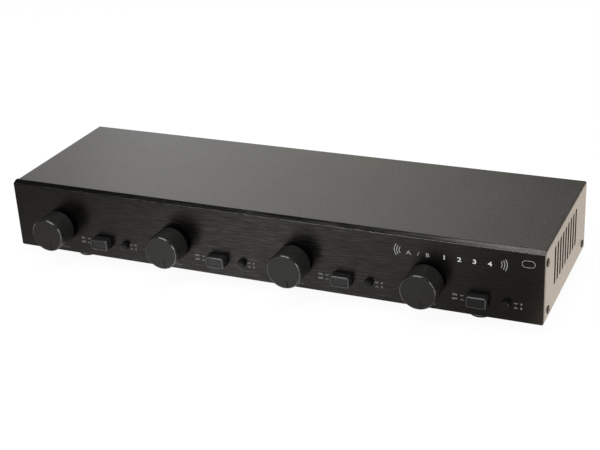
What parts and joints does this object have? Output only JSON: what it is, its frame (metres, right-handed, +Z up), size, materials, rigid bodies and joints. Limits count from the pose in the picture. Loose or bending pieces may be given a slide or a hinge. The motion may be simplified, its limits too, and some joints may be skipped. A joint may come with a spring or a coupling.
{
  "type": "speaker selector switch",
  "caption": "Low rack-width speaker selector box with brushed black front, a volume knob, on/off push button and A/B push button for each channel, vented cover and round feet.",
  "frame": {"origin": "on the floor under the middle of the whole object's bounding box, knobs, terminals and side screws included", "axes": "+X runs along the front panel to the right as seen from the front, +Y from the front panel to the back, +Z up"},
  "size_m": [0.4316, 0.1586, 0.0651],
  "materials": {
    "black_anodised": "brushed along its length, semi-gloss, bright cut edge",
    "grey_powder_coat": "fine-speckled satin powder coat",
    "black_paint": "satin black paint",
    "zinc_sheet": "zinc-plated sheet",
    "zinc_screw": "zinc plated",
    "black_screw": "black oxide, satin",
    "foot_rubber": "moulded rubber",
    "knob_black": "satin black with a bright bevel ring",
    "button_black": "semi-gloss black plastic",
    "switch_body": "moulded, matt",
    "plunger_white": "natural nylon",
    "board_green": "green solder resist",
    "control_can": "plated can",
    "shaft_aluminium": "turned",
    "core_steel": "stacked laminations, varnished",
    "winding_tape": "yellow tape over copper wire",
    "terminal_green": "moulded, semi-gloss",
    "nickel": "nickel plated"
  },
  "bodies": {
    "chassis": {"front_panel": "black_anodised", "chassis_tray": "zinc_sheet", "rear_panel": "black_paint", "top_cover": "grey_powder_coat", "foot_front_left": "foot_rubber", "foot_front_right": "foot_rubber", "foot_rear_left": "foot_rubber", "foot_rear_right": "foot_rubber", "foot_screws": "zinc_screw", "right_side_screws": "black_screw", "left_side_screws": "black_screw", "rear_cover_screws": "black_screw", "rear_panel_screws": "zinc_screw", "front_panel_screws": "zinc_screw", "board_screws": "zinc_screw", "control_washers": "nickel", "control_nuts": "nickel", "main_board": "board_green", "board_standoffs": "nickel", "autoformer_cores": "core_steel", "autoformer_windings": "winding_tape", "amp_input_terminals": "terminal_green", "zone_output_terminals": "terminal_green", "terminal_screws": "zinc_screw", "volume_control_1": "control_can", "volume_control_2": "control_can", "volume_control_3": "control_can", "volume_control_4": "control_can", "on_off_switch_1": "switch_body", "on_off_switch_2": "switch_body", "on_off_switch_3": "switch_body", "on_off_switch_4": "switch_body", "ab_switch_1": "switch_body", "ab_switch_2": "switch_body", "ab_switch_3": "switch_body", "ab_switch_4": "switch_body"},
    "volume_1": {"knob_1": "knob_black", "volume_shaft_1": "shaft_aluminium"},
    "on_off_1": {"on_off_button_1": "button_black", "on_off_plunger_1": "plunger_white"},
    "ab_1": {"ab_button_1": "button_black", "ab_plunger_1": "plunger_white"},
    "volume_2": {"knob_2": "knob_black", "volume_shaft_2": "shaft_aluminium"},
    "on_off_2": {"on_off_button_2": "button_black", "on_off_plunger_2": "plunger_white"},
    "ab_2": {"ab_button_2": "button_black", "ab_plunger_2": "plunger_white"},
    "volume_3": {"knob_3": "knob_black", "volume_shaft_3": "shaft_aluminium"},
    "on_off_3": {"on_off_button_3": "button_black", "on_off_plunger_3": "plunger_white"},
    "ab_3": {"ab_button_3": "button_black", "ab_plunger_3": "plunger_white"},
    "volume_4": {"knob_4": "knob_black", "volume_shaft_4": "shaft_aluminium"},
    "on_off_4": {"on_off_button_4": "button_black", "on_off_plunger_4": "plunger_white"},
    "ab_4": {"ab_button_4": "button_black", "ab_plunger_4": "plunger_white"}
  },
  "joints": [
    {"name": "volume_turn_1", "type": "hinge", "parent": "chassis", "child": "volume_1", "pos_m": [-0.1739, -0.05825, 0.0316], "axis": [0, 1, 0], "range_deg": [-330, 0]},
    {"name": "on_off_press_1", "type": "slide", "parent": "chassis", "child": "on_off_1", "axis": [0, 1, 0], "range_m": [0, 0.003], "stiffness_N_per_m": 500, "springref_m": -0.002},
    {"name": "ab_press_1", "type": "slide", "parent": "chassis", "child": "ab_1", "axis": [0, 1, 0], "range_m": [0, 0.0025], "stiffness_N_per_m": 500, "springref_m": -0.0015},
    {"name": "volume_turn_2", "type": "hinge", "parent": "chassis", "child": "volume_2", "pos_m": [-0.0722, -0.05825, 0.0316], "axis": [0, 1, 0], "range_deg": [-330, 0]},
    {"name": "on_off_press_2", "type": "slide", "parent": "chassis", "child": "on_off_2", "axis": [0, 1, 0], "range_m": [0, 0.003], "stiffness_N_per_m": 500, "springref_m": -0.002},
    {"name": "ab_press_2", "type": "slide", "parent": "chassis", "child": "ab_2", "axis": [0, 1, 0], "range_m": [0, 0.0025], "stiffness_N_per_m": 500, "springref_m": -0.0015},
    {"name": "volume_turn_3", "type": "hinge", "parent": "chassis", "child": "volume_3", "pos_m": [0.0295, -0.05825, 0.0316], "axis": [0, 1, 0], "range_deg": [-330, 0]},
    {"name": "on_off_press_3", "type": "slide", "parent": "chassis", "child": "on_off_3", "axis": [0, 1, 0], "range_m": [0, 0.003], "stiffness_N_per_m": 500, "springref_m": -0.002},
    {"name": "ab_press_3", "type": "slide", "parent": "chassis", "child": "ab_3", "axis": [0, 1, 0], "range_m": [0, 0.0025], "stiffness_N_per_m": 500, "springref_m": -0.0015},
    {"name": "volume_turn_4", "type": "hinge", "parent": "chassis", "child": "volume_4", "pos_m": [0.1312, -0.05825, 0.0316], "axis": [0, 1, 0], "range_deg": [-330, 0]},
    {"name": "on_off_press_4", "type": "slide", "parent": "chassis", "child": "on_off_4", "axis": [0, 1, 0], "range_m": [0, 0.003], "stiffness_N_per_m": 500, "springref_m": -0.002},
    {"name": "ab_press_4", "type": "slide", "parent": "chassis", "child": "ab_4", "axis": [0, 1, 0], "range_m": [0, 0.0025], "stiffness_N_per_m": 500, "springref_m": -0.0015}
  ]
}
